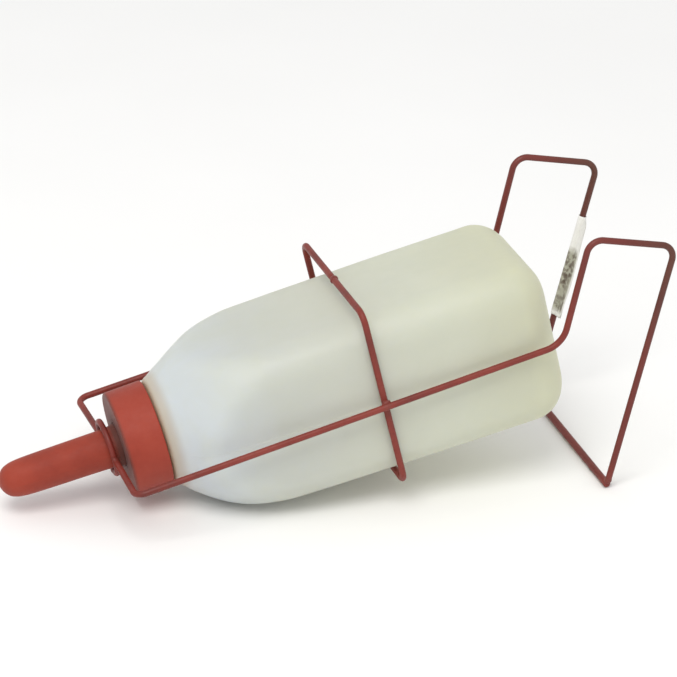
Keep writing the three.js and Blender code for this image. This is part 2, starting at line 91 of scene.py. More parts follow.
LIP_X, MOUTH_R, LIP_R, NECK_R, NECK_END_X = 13.8, 25.4, 27.6, 28.1, 31.4
BASE_X, BASE_FILLET, BASE_PUSH, CORNER_R, WALL = 283.0, 23.0, 1.6, 20.0, 1.8
BODY_OFF = (-2.6, -2.45)
THREAD_PITCH, THREAD_H, THREAD_W, THREAD_TURNS = 4.0, 1.5, 1.3, 1.6
DOME = [
    (31.4, 28.1), (32.0, 31.0), (33.6, 33.4), (37.0, 36.0), (41.0, 39.4), (47.0, 43.8),
    (52.0, 47.4), (57.0, 50.6), (62.0, 53.5), (67.0, 56.2), (72.0, 58.5), (77.0, 60.5),
    (82.0, 62.3), (87.0, 64.0), (93.0, 66.4), (100.0, 70.0), (110.0, 78.0), (125.0, 92.0),
]
SHIFT = [(30.0, 0.0), (33.0, 0.0), (37.0, 0.18), (41.0, 0.42), (47.0, 0.68), (52.0, 0.82), (62.0, 0.96), (72.0, 1.0), (90.0, 1.0)]
BODY = [(30.0, 50.4), (40.0, 50.6), (60.0, 50.8), (88.0, 51.6), (130.0, 52.4), (164.0, 52.8), (190.0, 53.1), (240.0, 53.4), (283.0, 53.5)]

CAP_FRONT, CAP_REAR, CAP_R, CAP_WALL, CAP_FACE, CAP_HOLE_R = 7.2, 31.5, 33.9, 3.3, 3.0, 14.2
CAP_DRAFT = 0.6


# -------------------------------------------------------------------- helpers
def smooth_table(rows):
    """A monotone cubic through the rows, so that no facet shows between them."""
    x = np.array([r[0] for r in rows], float)
    y = np.array([r[1] for r in rows], float)
    h, d = np.diff(x), np.diff(y) / np.diff(x)
    m = np.zeros_like(y)
    m[0], m[-1] = d[0], d[-1]
    for i in range(1, len(x) - 1):
        if d[i - 1] * d[i] > 0:
            w1, w2 = 2 * h[i] + h[i - 1], h[i] + 2 * h[i - 1]
            m[i] = (w1 + w2) / (w1 / d[i - 1] + w2 / d[i])

    def at(q):
        q = float(min(max(q, x[0]), x[-1]))
        i = int(min(max(np.searchsorted(x, q) - 1, 0), len(h) - 1))
        t = (q - x[i]) / h[i]
        return (
            (1 + 2 * t) * (1 - t) ** 2 * y[i]
            + t * (1 - t) ** 2 * h[i] * m[i]
            + t * t * (3 - 2 * t) * y[i + 1]
            + t * t * (t - 1) * h[i] * m[i + 1]
        )

    return at


dome_at, shift_at, body_at = smooth_table(DOME), smooth_table(SHIFT), smooth_table(BODY)


def piece(name, verts, faces, matrix, material, body, nodes=(), smooth=True):
    """A finished mesh piece from points in millimetres in its own frame."""
    mesh = bpy.data.meshes.new(name)
    placed = [tuple(matrix @ (Vector([float(c) for c in v]) * 0.001)) for v in verts]
    mesh.from_pydata(placed, [], [tuple(int(i) for i in f) for f in faces])
    mesh.validate()
    mesh.update()
    obj = bpy.data.objects.new(name, mesh)
    scene.collection.objects.link(obj)
    mesh.materials.append(material)
    for p in mesh.polygons:
        p.use_smooth = smooth
    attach(obj, body)
    if nodes:
        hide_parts(*nodes)
    return obj


def rings_to_mesh(rings, closed_ends=(True, True)):
    """Rings of the same count (or single poles) into a skin, quads between."""
    verts, first = [], []
    for r in rings:
        first.append(len(verts))
        verts.extend(r)
    faces = []
    for i in range(len(rings) - 1):
        a, b, A, B = rings[i], rings[i + 1], first[i], first[i + 1]
        n = max(len(a), len(b))
        for k in range(n):
            k1 = (k + 1) % n
            if len(a) == 1:
                faces.append((A, B + k1, B + k))
            elif len(b) == 1:
                faces.append((A + k, A + k1, B))
            else:
                faces.append((A + k, A + k1, B + k1, B + k))
    return verts, faces


def bent_path(corners, radii, arc_steps=14, run=6.0):
    """Points and tangents along straight runs joined by bends."""
    pts, tan = [], []
    corners = [Vector(c) for c in corners]
    last = corners[0]
    for i in range(1, len(corners) - 1):
        a = (corners[i] - corners[i - 1]).normalized()
        b = (corners[i + 1] - corners[i]).normalized()
        turn = a.angle(b)
        r = radii[i - 1]
        start = corners[i] - a * (r * math.tan(turn / 2))
        n = max(2, int((start - last).length / run))
        for k in range(n):
            pts.append(last.lerp(start, k / n))
            tan.append(a.copy())
        side = (b - a * a.dot(b)).normalized()
        steps = max(4, round(arc_steps * turn / (math.pi / 2)))
        for k in range(steps):
            f = turn * k / steps
            pts.append(start + a * (r * math.sin(f)) + side * (r * (1 - math.cos(f))))
            tan.append(a * math.cos(f) + side * math.sin(f))
        last = start + a * (r * math.sin(turn)) + side * (r * (1 - math.cos(turn)))
    b = (corners[-1] - corners[-2]).normalized()
    n = max(2, int((corners[-1] - last).length / run))
    for k in range(n + 1):
        pts.append(last.lerp(corners[-1], k / n))
        tan.append(b.copy())
    return pts, tan


def tube(pts, tan, radius, sides=28, seed=0.0, bumps=(), wobble=0.004, end_round=0.7):
    """A coated wire: a round sweep, its coating a little uneven, its ends rounded over."""
    s = [0.0]
    for p, q in zip(pts[:-1], pts[1:]):
        s.append(s[-1] + (q - p).length)
    total = s[-1]
    up = Vector((0, 0, 1)) if abs(tan[0].z) < 0.8 else Vector((0, 1, 0))
    u = (up - tan[0] * up.dot(tan[0])).normalized()
    rings = []

    def ring(c, t, u, r, along):
        v = t.cross(u)
        out = []
        for k in range(sides):
            f = 2 * math.pi * k / sides
            d = u * math.cos(f) + v * math.sin(f)
            q = c + d * r
            rr = r * (0.991 + 0.004 * noise.noise(Vector((along * 0.09 + seed, math.cos(f) * 0.8, math.sin(f) * 0.8))))
            for (at, amount, width, direction) in bumps:
                w = math.exp(-(((along - at) / width) ** 2)) * max(0.0, d.dot(Vector(direction))) ** 2
                rr += amount * w
            out.append(c + d * rr)
        return out

    for k in range(5):
        f = k / 5 * math.pi / 2
        rings.append(ring(pts[0] + tan[0] * (end_round * (1 - math.cos(f))), tan[0], u, radius - end_round * (1 - math.sin(f)), 0.0))
    frames = []
    for i, (p, t) in enumerate(zip(pts, tan)):
        if i:
            u = (u - t * u.dot(t)).normalized()
        frames.append(u.copy())
        edge = min(s[i], total - s[i])
        if edge < end_round * 1.01:
            continue
        w = wobble * min(1.0, edge / 20.0)
        c = p + Vector((
            noise.noise(Vector((s[i] * 0.021 + seed, 3.1, 0.7))),
            noise.noise(Vector((s[i] * 0.021 + seed, 7.7, 2.3))),
            noise.noise(Vector((s[i] * 0.021 + seed, 11.9, 5.1))),
        )) * w
        rings.append(ring(c, t, u, radius, s[i]))
    for k in range(4, -1, -1):
        f = k / 5 * math.pi / 2
        rings.append(ring(pts[-1] - tan[-1] * (end_round * (1 - math.cos(f))), tan[-1], frames[-1], radius - end_round * (1 - math.sin(f)), total))
    rings.insert(0, [pts[0]])
    rings.append([pts[-1]])
    verts, faces = rings_to_mesh(rings)
    return verts, faces


def lathe(profile, segments=128, closed=True):
    """A closed [x, r] loop turned about the x axis."""
    verts, faces = [], []
    n = len(profile)
    for k in range(segments):
        f = 2 * math.pi * k / segments
        for x, r in profile:
            verts.append((x, r * math.cos(f), r * math.sin(f)))
    for k in range(segments):
        a, b = k * n, ((k + 1) % segments) * n
        for i in range(n):
            j = (i + 1) % n
            faces.append((a + i, a + j, b + j, b + i))
    return verts, faces


def outward(verts, faces):
    """Faces of a closed skin turned to point out."""
    v = np.array([tuple(p) for p in verts], float)
    vol = 0.0
    for f in faces:
        for k in range(1, len(f) - 1):
            vol += float(np.dot(v[f[0]], np.cross(v[f[k]], v[f[k + 1]])))
    if vol < 0:
        faces = [tuple(reversed(f)) for f in faces]
    return verts, faces


def rounded(profile, radii, steps=6):
    """Rounds the corners of a closed [x, r] loop, one radius per corner."""
    out = []
    n = len(profile)
    for i in range(n):
        p, a, b = Vector(profile[i]), Vector(profile[i - 1]), Vector(profile[(i + 1) % n])
        r = radii[i]
        if r <= 0:
            out.append(tuple(p))
            continue
        u, w = (a - p).normalized(), (b - p).normalized()
        half = u.angle(w) / 2
        cut = min(r / math.tan(half), (a - p).length * 0.49, (b - p).length * 0.49)
        rr = cut * math.tan(half)
        centre = p + (u + w).normalized() * (rr / math.sin(half))
        s, e = p + u * cut - centre, p + w * cut - centre
        ang = s.angle(e)
        for k in range(steps + 1):
            t = k / steps
            d = (s * math.sin((1 - t) * ang) + e * math.sin(t * ang)) / math.sin(ang)
            out.append(tuple(centre + d))
    return out


def refined(profile, step):
    """Points added along a closed loop so that no edge is longer than step."""
    out = []
    n = len(profile)
    for i in range(n):
        p, q = profile[i], profile[(i + 1) % n]
        d = math.dist(p, q)
        k = max(1, math.ceil(d / step))
        for j in range(k):
            out.append((p[0] + (q[0] - p[0]) * j / k, p[1] + (q[1] - p[1]) * j / k))
    return out


# ------------------------------------------------------------------- materials
def node_material(name):
    m = bpy.data.materials.new(name)
    m.use_nodes = True
    nt = m.node_tree
    bsdf = nt.nodes["Principled BSDF"]
    return m, nt, bsdf


def add(nt, kind, **values):
    n = nt.nodes.new(kind)
    for k, v in values.items():
        if k.startswith("in_"):
            n.inputs[k[3:].replace("_", " ")].default_value = v
        else:
            setattr(n, k, v)
    return n


def coords(nt, scale=(1, 1, 1)):
    tc = add(nt, "ShaderNodeTexCoord")
    mp = add(nt, "ShaderNodeMapping")
    mp.inputs["Scale"].default_value = scale
    nt.links.new(tc.outputs["Object"], mp.inputs["Vector"])
    return mp.outputs["Vector"]


def noise_tex(nt, vec, scale, detail=3.0, rough=0.5, distortion=0.0):
    n = add(nt, "ShaderNodeTexNoise")
    n.inputs["Scale"].default_value = scale
    n.inputs["Detail"].default_value = detail
    n.inputs["Roughness"].default_value = rough
    n.inputs["Distortion"].default_value = distortion
    nt.links.new(vec, n.inputs["Vector"])
    return n.outputs["Fac"]


def ramp(nt, fac, stops, interpolation="LINEAR"):
    r = add(nt, "ShaderNodeValToRGB")
    r.color_ramp.interpolation = interpolation
    el = r.color_ramp.elements
    while len(el) < len(stops):
        el.new(0.5)
    for e, (p, c) in zip(el, stops):
        e.position = p
        e.color = (*c, 1.0) if len(c) == 3 else c
    nt.links.new(fac, r.inputs["Fac"])
    return r.outputs["Color"]


def grey(v):
    return (v, v, v)


def mix(nt, fac, a, b, mode="MIX"):
    m = add(nt, "ShaderNodeMix", data_type="RGBA", blend_type=mode)
    for sock, val in ((m.inputs[0], fac), (m.inputs[6], a), (m.inputs[7], b)):
        if isinstance(val, (int, float)):
            sock.default_value = val
        elif isinstance(val, tuple):
            sock.default_value = (*val, 1.0)
        else:
            nt.links.new(val, sock)
    return m.outputs[2]


def bump(nt, height, strength, distance, normal=None):
    b = add(nt, "ShaderNodeBump")
    b.inputs["Strength"].default_value = strength
    b.inputs["Distance"].default_value = distance
    nt.links.new(height, b.inputs["Height"])
    if normal is not None:
        nt.links.new(normal, b.inputs["Normal"])
    return b.outputs["Normal"]


def axial(nt, vec, x0, x1, axis=None, origin=None):
    """0 to 1 between two stations, in millimetres, along an axis: the bottle's own unless given."""
    if axis is None:
        axis, origin = BOTTLE.to_3x3() @ Vector((1, 0, 0)), BOTTLE.translation
    axis = axis.normalized()
    start = origin.dot(axis)
    dot = add(nt, "ShaderNodeVectorMath", operation="DOT_PRODUCT")
    dot.inputs[1].default_value = tuple(axis)
    nt.links.new(vec, dot.inputs[0])
    r = add(nt, "ShaderNodeMapRange")
    r.inputs["From Min"].default_value = start + 0.001 * x0
    r.inputs["From Max"].default_value = start + 0.001 * x1
    nt.links.new(dot.outputs["Value"], r.inputs["Value"])
    return r.outputs["Result"]


def coated_wire(name, base, dark, light):
    """Brick-red dipped coating on steel wire: satin, a little orange peel, darker in small random patches and towards
    the hooks.
    """
    m, nt, bsdf = node_material(name)
    vec = coords(nt)
    broad = noise_tex(nt, vec, 22.0, 4.0, 0.6)
    c = ramp(nt, broad, [(0.30, dark), (0.50, base), (0.72, light)])
    fine = noise_tex(nt, vec, 420.0, 4.0, 0.65)
    c = mix(nt, ramp(nt, fine, [(0.56, grey(0.0)), (0.74, grey(0.5))]), c, dark)
    specks = noise_tex(nt, vec, 1500.0, 2.0, 0.5)
    c = mix(nt, ramp(nt, specks, [(0.68, grey(0.0)), (0.80, grey(0.35))]), c, light)
    # darker and browner towards the hooks, the outer legs most
    origin, out = RACK.translation, RACK.to_3x3() @ Vector((1, 0, 0))
    toward_hooks = axial(nt, vec, 282.0, 366.0, out, origin)
    c = mix(nt, ramp(nt, toward_hooks, [(0.0, grey(0.0)), (0.22, grey(0.50)), (1.0, grey(0.55))]), c, (0.095, 0.024, 0.021))
    brown = mix(nt, 1.0, ramp(nt, toward_hooks, [(0.55, grey(0.0)), (0.92, grey(0.75))]), ramp(nt, broad, [(0.30, grey(0.55)), (0.60, grey(1.0))]), "MULTIPLY")
    c = mix(nt, brown, c, (0.085, 0.043, 0.026))
    nt.links.new(c, bsdf.inputs["Base Color"])
    nt.links.new(ramp(nt, fine, [(0.3, grey(0.36)), (0.7, grey(0.56))]), bsdf.inputs["Roughness"])
    bsdf.inputs["Specular IOR Level"].default_value = 0.36
    peel = noise_tex(nt, vec, 900.0, 3.0, 0.55)
    lumps = noise_tex(nt, vec, 160.0, 3.0, 0.5)
    n = bump(nt, peel, 0.35, 0.00012)
    n = bump(nt, lumps, 0.45, 0.00035, n)
    nt.links.new(n, bsdf.inputs["Normal"])
    return m


WIRE = coated_wire("coated_wire_red", (0.200, 0.027, 0.018), (0.115, 0.020, 0.015), (0.240, 0.040, 0.028))
WELD = coated_wire("weld_coating_red", (0.170, 0.031, 0.023), (0.085, 0.021, 0.017), (0.235, 0.050, 0.037))


def bottle_plastic():
    """Natural polyethylene, milky and satin: cooler over the shoulder, warmer and greener towards the base."""
    m, nt, bsdf = node_material("milky_polyethylene")
    vec = coords(nt)
    along = axial(nt, vec, 30.0, 283.0)
    wander = noise_tex(nt, vec, 9.0, 2.0, 0.5)
    fac = add(nt, "ShaderNodeMath", operation="MULTIPLY_ADD")
    nt.links.new(wander, fac.inputs[0])
    fac.inputs[1].default_value = 0.16
    nt.links.new(along, fac.inputs[2])
    c = ramp(nt, fac.outputs[0], [
        (0.06, (0.615, 0.628, 0.595)),
        (0.13, (0.607, 0.655, 0.658)),
        (0.34, (0.590, 0.604, 0.520)),
        (0.50, (0.612, 0.618, 0.500)),
        (0.80, (0.662, 0.670, 0.500)),
        (1.00, (0.636, 0.632, 0.430)),
    ])
    cloud = noise_tex(nt, vec, 38.0, 4.0, 0.55, 0.6)
    c = mix(nt, ramp(nt, cloud, [(0.35, grey(0.0)), (0.75, grey(0.30))]), c, (0.580, 0.598, 0.440))
    # browner and darker where the shoulder runs in under the collar
    rim = axial(nt, vec, 32.0, 42.0)
    c = mix(nt, ramp(nt, rim, [(0.0, grey(0.90)), (0.35, grey(0.50)), (1.0, grey(0.0))], "EASE"), c, (0.440, 0.315, 0.195))
    nt.links.new(c, bsdf.inputs["Base Color"])
    bsdf.inputs["Subsurface Weight"].default_value = 0.55
    bsdf.inputs["Subsurface Radius"].default_value = (1.0, 0.9, 0.65)
    bsdf.inputs["Subsurface Scale"].default_value = 0.012
    bsdf.inputs["IOR"].default_value = 1.52
    bsdf.inputs["Specular IOR Level"].default_value = 0.45
    scuff = noise_tex(nt, coords(nt, (0.35, 1, 1)), 210.0, 5.0, 0.6)
    nt.links.new(ramp(nt, scuff, [(0.3, grey(0.40)), (0.7, grey(0.54))]), bsdf.inputs["Roughness"])
    grain = noise_tex(nt, vec, 1100.0, 3.0, 0.5)
    wave = noise_tex(nt, vec, 34.0, 2.0, 0.5)
    n = bump(nt, grain, 0.12, 0.00008)
    n = bump(nt, wave, 0.25, 0.0008, n)
    nt.links.new(n, bsdf.inputs["Normal"])
    return m


BOTTLE_MAT = bottle_plastic()


def rubbery(name, base, dark, light, rough, sss, shade_span, dust=0.25):
    """Matte brick-red rubber or soft moulding, faintly dusty, with fine speckle, and painted shade over one span along
    the axis.
    """
    m, nt, bsdf = node_material(name)
    vec = coords(nt)
    broad = noise_tex(nt, vec, 26.0, 4.0, 0.6)
    c = ramp(nt, broad, [(0.32, dark), (0.52, base), (0.74, light)])
    mottled = noise_tex(nt, vec, 260.0, 5.0, 0.65)
    c = mix(nt, ramp(nt, mottled, [(0.52, grey(0.0)), (0.78, grey(dust))]), c, light)
    pits = noise_tex(nt, vec, 1300.0, 3.0, 0.5)
    c = mix(nt, ramp(nt, pits, [(0.60, grey(0.0)), (0.76, grey(0.4))]), c, dark)
    # painted shade: darkened where the shadow falls in the recess between the wire ring and the collar's face
    painted_shade_mask = axial(nt, vec, shade_span[0], shade_span[1])
    c = mix(nt, ramp(nt, painted_shade_mask, shade_span[2]), c, (0.070, 0.038, 0.030))
    nt.links.new(c, bsdf.inputs["Base Color"])
    nt.links.new(ramp(nt, mottled, [(0.3, grey(rough - 0.07)), (0.7, grey(rough + 0.08))]), bsdf.inputs["Roughness"])
    bsdf.inputs["Specular IOR Level"].default_value = 0.30
    bsdf.inputs["Subsurface Weight"].default_value = sss
    bsdf.inputs["Subsurface Radius"].default_value = (1.0, 0.25, 0.15)
    bsdf.inputs["Subsurface Scale"].default_value = 0.0012
    bsdf.inputs["Sheen Weight"].default_value = 0.06
    bsdf.inputs["Sheen Roughness"].default_value = 0.5
    n = bump(nt, pits, 0.30, 0.00010)
    n = bump(nt, noise_tex(nt, vec, 180.0, 3.0, 0.5), 0.30, 0.00030, n)
    nt.links.new(n, bsdf.inputs["Normal"])
    return m


# the last argument of each darkens the collar's front face and the teat's root as painted shade
CAP_MAT = rubbery("collar_red", (0.310, 0.040, 0.021), (0.255, 0.032, 0.017), (0.350, 0.054, 0.031), 0.60, 0.05,
                  (7.0, 9.4, [(0.0, grey(0.70)), (0.35, grey(0.50)), (1.0, grey(0.0))]))
TEAT_MAT = rubbery("teat_rubber", (0.315, 0.042, 0.021), (0.255, 0.033, 0.017), (0.355, 0.056, 0.031), 0.64, 0.10,
                   (1.5, 12.0, [(0.0, grey(0.0)), (0.30, grey(0.70)), (1.0, grey(0.80))]))


def paper():
    """Folded paper tag: off-white, printed with grey blotches that say nothing."""
    m, nt, bsdf = node_material("paper_tag")
    vec = coords(nt, (1, 1, 1))
    fibres = noise_tex(nt, coords(nt, (1, 1, 0.3)), 700.0, 5.0, 0.7)
    blank = ramp(nt, fibres, [(0.3, (0.77, 0.765, 0.735)), (0.7, (0.86, 0.855, 0.83))])
    # the printed panel: a narrow field down the lower two thirds of the tag
    top = Vector((HOOK_OUT[0] + RIGHT_HOOK_OFF[0], RACK_HALF, HOOK_OUT[1] + RIGHT_HOOK_OFF[1]))
    down = (Vector((HOOK_FOOT[0], RACK_HALF, HOOK_FOOT[1])) - top).normalized()
    turn = RACK.to_3x3()
    at = RACK @ ((top + down * 37.0) * 0.001)
    length = axial(nt, vec, 0.0, 70.0, turn @ down, at)
    width = axial(nt, vec, -4.0, 12.0, turn @ Vector((0, -1, 0)), at)
    panel = mix(nt, 1.0,
                ramp(nt, length, [(0.30, grey(0.0)), (0.38, grey(1.0)), (0.92, grey(1.0)), (0.97, grey(0.0))]),
                ramp(nt, width, [(0.06, grey(0.6)), (0.20, grey(1.0)), (0.74, grey(1.0)), (0.84, grey(0.0))]), "MULTIPLY")
    c = mix(nt, panel, blank, (0.430, 0.425, 0.345))
    v = add(nt, "ShaderNodeTexVoronoi", feature="SMOOTH_F1")
    v.inputs["Scale"].default_value = 330.0
    nt.links.new(vec, v.inputs["Vector"])
    blot = mix(nt, 0.5, v.outputs["Distance"], noise_tex(nt, vec, 520.0, 3.0, 0.6))
    ink = ramp(nt, blot, [(0.32, grey(0.95)), (0.46, grey(0.60)), (0.53, grey(0.0))])
    where = ramp(nt, noise_tex(nt, vec, 60.0, 2.0, 0.5), [(0.34, grey(0.25)), (0.58, grey(1.0))])
    c = mix(nt, mix(nt, 1.0, mix(nt, 1.0, ink, where, "MULTIPLY"), panel, "MULTIPLY"), c, (0.120, 0.090, 0.070))
    nt.links.new(c, bsdf.inputs["Base Color"])
    bsdf.inputs["Roughness"].default_value = 0.8
    bsdf.inputs["Specular IOR Level"].default_value = 0.25
    nt.links.new(bump(nt, fibres, 0.3, 0.0001), bsdf.inputs["Normal"])
    return m


PAPER = paper()

# ------------------------------------------------------------------ the rack
ring_outer = RING_R + RING_WIRE_R
GAP = 0.35


def side_wire(side):
    y = side * RACK_HALF
    front = RIGHT_FRONT_OFF if side > 0 else (0, 0)
    hook = RIGHT_HOOK_OFF if side > 0 else (0, 0)
    top = Vector((HOOK_OUT[0] + hook[0], y, HOOK_OUT[1] + hook[1]))
    foot = Vector((HOOK_FOOT[0], y, HOOK_FOOT[1]))
    foot = foot - (foot - top).normalized() * (2.4 + GAP)
    corners = [
        (0, side * (ring_outer + GAP), 0),
        (front[0], y, front[1]),
        (RACK_L + hook[0], y, 0),
        (HOOK_IN[0] + hook[0], y, HOOK_IN[1] + hook[1]),
        top,
        foot,
    ]
    return bent_path(corners, BENDS)


for name, side, seed in (("left", -1, 2.0), ("right", 1, 41.0)):
    pts, tan = side_wire(side)
    v, f = outward(*tube(pts, tan, WIRE_R, seed=seed))
    piece(f"side_wire_{name}", v, f, RACK, WIRE, "rack", [f"frame_wire_{name}"])

cross_end = RACK_HALF + 0.3
pts, tan = bent_path([(HOOK_FOOT[0], -cross_end, HOOK_FOOT[1]), (HOOK_FOOT[0], 0, HOOK_FOOT[1] + 0.001), (HOOK_FOOT[0], cross_end, HOOK_FOOT[1])], [1.0], run=3.0)
v, f = outward(*tube(pts, tan, CROSS_R, seed=77.0, wobble=0.0, bumps=(
    (24.0, 0.55, 1.2, (-1, 0, 0.2)), (36.0, 0.35, 0.9, (-1, 0, 0.5)), (96.0, 0.30, 1.1, (0.3, 0, 1)), (112.0, 0.45, 1.4, (-0.8, 0, 0.6)))))
piece("cross_wire_rear", v, f, RACK, WIRE, "rack", ["rear_cross_wire"])

verts, faces = [], []
NB, NS = 120, 24
for i in range(NB):
    a = 2 * math.pi * i / NB
    centre = Vector((0, math.cos(a), math.sin(a)))
    # the ring's own butt joint, at the bottom, where its two ends meet
    d = (a - 1.5 * math.pi + math.pi) % (2 * math.pi) - math.pi
    swell = 0.28 * math.exp(-((d / 0.10) ** 2))
    for k in range(NS):
        b = 2 * math.pi * k / NS
        r = RING_WIRE_R + swell + 0.03 * noise.noise(Vector((centre.y * 4, centre.z * 4, math.sin(b))))
        verts.append(centre * (RING_R + r * math.cos(b)) + Vector((r * math.sin(b), 0, 0)))
for i in range(NB):
    for k in range(NS):
        i1, k1 = (i + 1) % NB, (k + 1) % NS
        faces.append((i * NS + k, i * NS + k1, i1 * NS + k1, i1 * NS + k))
v, f = outward(verts, faces)
piece("ring_teat", v, f, RACK, WIRE, "rack", ["teat_ring"])

BAND_PLACE = Matrix.Translation((BAND_X, 0, BAND_Z)) @ Matrix.Rotation(ROLL, 4, "X")
corners = [BAND_PLACE @ Vector((0, y, z)) for y, z in (
    (BAND_SEAM_Y + BAND_SEAM_GAP / 2 - 0.35, BAND_HALF_Z), (BAND_HALF_Y, BAND_HALF_Z), (BAND_HALF_Y, -BAND_HALF_Z),
    (-BAND_HALF_Y, -BAND_HALF_Z), (-BAND_HALF_Y, BAND_HALF_Z), (BAND_SEAM_Y - BAND_SEAM_GAP / 2 + 0.35, BAND_HALF_Z))]
pts, tan = bent_path(corners, [BAND_BEND] * 4)
v, f = outward(*tube(pts, tan, WIRE_R, seed=130.0))
piece("band_body", v, f, RACK, WIRE, "rack", ["body_band"])


def weld(name, lumps, stubs, node, seed, voxel=0.28, smoothing=9):
    """A weld bead: lumps and short sleeves on the wires melted into one skin, then roughened."""
    verts, faces = [], []

    def take(v, f):
        base = len(verts)
        verts.extend([Vector(p) for p in v])
        faces.extend([tuple(base + i for i in q) for q in f])

    for centre, size in lumps:
        n, m = 20, 12
        rings = [[Vector(centre) + Vector((0, 0, size[2]))]]
        for i in range(1, m):
            t = math.pi * i / m
            rings.append([Vector(centre) + Vector((size[0] * math.sin(t) * math.cos(2 * math.pi * k / n), size[1] * math.sin(t) * math.sin(2 * math.pi * k / n), size[2] * math.cos(t))) for k in range(n)])
        rings.append([Vector(centre) - Vector((0, 0, size[2]))])
        take(*outward(*rings_to_mesh(rings)))
    for a, b, r in stubs:
        a, b = Vector(a), Vector(b)
        t = (b - a).normalized()
        u = t.orthogonal().normalized()
        w = t.cross(u)
        n = 20
        rings = [[a]]
        for c, rr in ((a, r * 0.98), (a.lerp(b, 0.35), r + 0.12), (a.lerp(b, 0.65), r + 0.12), (b, r * 0.98)):
            rings.append([c + u * (rr * math.cos(2 * math.pi * k / n)) + w * (rr * math.sin(2 * math.pi * k / n)) for k in range(n)])
        rings.append([b])
        take(*outward(*rings_to_mesh(rings)))
    mesh = bpy.data.meshes.new(name + "_src")
    mesh.from_pydata([tuple(p) for p in verts], [], faces)
    mesh.update()
    src = bpy.data.objects.new(name + "_src", mesh)
    scene.collection.objects.link(src)
    mod = src.modifiers.new("melt", "REMESH")
    mod.mode = "VOXEL"
    mod.voxel_size = voxel
    sm = src.modifiers.new("smooth", "SMOOTH")
    sm.factor, sm.iterations = 0.5, smoothing
    dg = bpy.context.evaluated_depsgraph_get()
    ev = src.evaluated_get(dg).to_mesh()
    out = [Vector(p.co) for p in ev.vertices]
    nrm = [Vector(p.normal) for p in ev.vertices]
    fs = [tuple(p.vertices) for p in ev.polygons]
    src.evaluated_get(dg).to_mesh_clear()
    bpy.data.objects.remove(src)
    bpy.data.meshes.remove(mesh)
    done = []
    for p, q in zip(out, nrm):
        h = 0.16 * noise.noise(p * 0.9 + Vector((seed, 0, 0))) + 0.07 * noise.noise(p * 2.4 + Vector((0, seed, 0)))
        done.append(p + q * h)
    piece(name, done, fs, RACK, WELD, "rack", [node])


for name, side in (("left", -1), ("right", 1)):
    off = RIGHT_FRONT_OFF if side > 0 else (0, 0)
    bar = Vector((off[0], side * (RACK_HALF - ring_outer - GAP), off[1])).normalized()
    at = Vector((0, side * (ring_outer + 0.2), 0))
    ring_c = Vector((0, side * RING_R, 0))
    weld(f"bead_ring_{name}", [(at + bar * 0.4, (2.3, 2.2, 2.4)), (at + Vector((-0.5, side * 0.2, 1.5)), (1.6, 1.7, 1.5)), (at + Vector((-0.2, side * 0.1, -1.7)), (1.6, 1.6, 1.5))],
         [(at + bar * 0.6, at + bar * 3.6, WIRE_R - 0.02), (ring_c + Vector((0, -side * 0.5, -2.9)), ring_c + Vector((0, -side * 0.5, 2.9)), RING_WIRE_R - 0.10)],
         f"weld_ring_{name}", 5.0 + side)
    up = Matrix.Rotation(ROLL, 3, "X") @ Vector((0, 0, 1))
    leg = BAND_PLACE @ Vector((0, side * BAND_HALF_Y, 0))
    cross = leg - up * (leg.z / up.z)
    rail_z = off[1] * (1 - (BAND_X - off[0]) / (RACK_L - off[0]))
    rail = Vector((BAND_X, side * RACK_HALF, rail_z))
    slope = Vector((RACK_L - off[0], 0, -off[1])).normalized()
    mid = Vector((BAND_X, (cross.y + rail.y) / 2, rail_z))
    weld(f"bead_band_{name}", [(mid, (3.1, 1.7, 3.1)), (mid + Vector((1.6, 0, 1.5)), (1.6, 1.2, 1.5)), (mid + Vector((-1.8, 0, -1.3)), (1.5, 1.2, 1.6))],
         [(rail - slope * 3.3, rail + slope * 3.3, WIRE_R - 0.04), (cross + up * (rail_z - 3.3), cross + up * (rail_z + 3.3), WIRE_R - 0.04)],
         f"weld_band_{name}", 15.0 + side)
    hook = RIGHT_HOOK_OFF if side > 0 else (0, 0)
    foot = Vector((HOOK_FOOT[0], side * RACK_HALF, HOOK_FOOT[1]))
    d = (foot - Vector((HOOK_OUT[0] + hook[0], side * RACK_HALF, HOOK_OUT[1] + hook[1]))).normalized()
    weld(f"bead_rear_{name}", [(foot - d * 2.5 - Vector((0, side * 0.4, 0)), (2.6, 2.4, 2.1)), (foot - d * 3.0 - Vector((0, side * 2.0, 0)), (1.7, 1.7, 1.6))],
         [(foot - d * 5.0, foot - d * 2.4, WIRE_R - 0.02), (foot - Vector((0, side * 4.0, 0)), foot + Vector((0, side * 0.2, 0)), CROSS_R - 0.28)],
         f"weld_rear_{name}", 25.0 + side)

at = BAND_PLACE @ Vector((0, BAND_SEAM_Y, BAND_HALF_Z))
across = (Matrix.Rotation(ROLL, 3, "X") @ Vector((0, 1, 0)))
weld("bead_band_seam", [(at + Vector((0.2, 0, 0.4)), (2.6, 2.5, 2.2)), (at + Vector((-0.7, -1.2, 0.2)), (2.1, 1.8, 2.0))],
     [(at - across * 2.2, at + across * 2.2, WIRE_R - 0.02)], "weld_band_seam", 35.0)


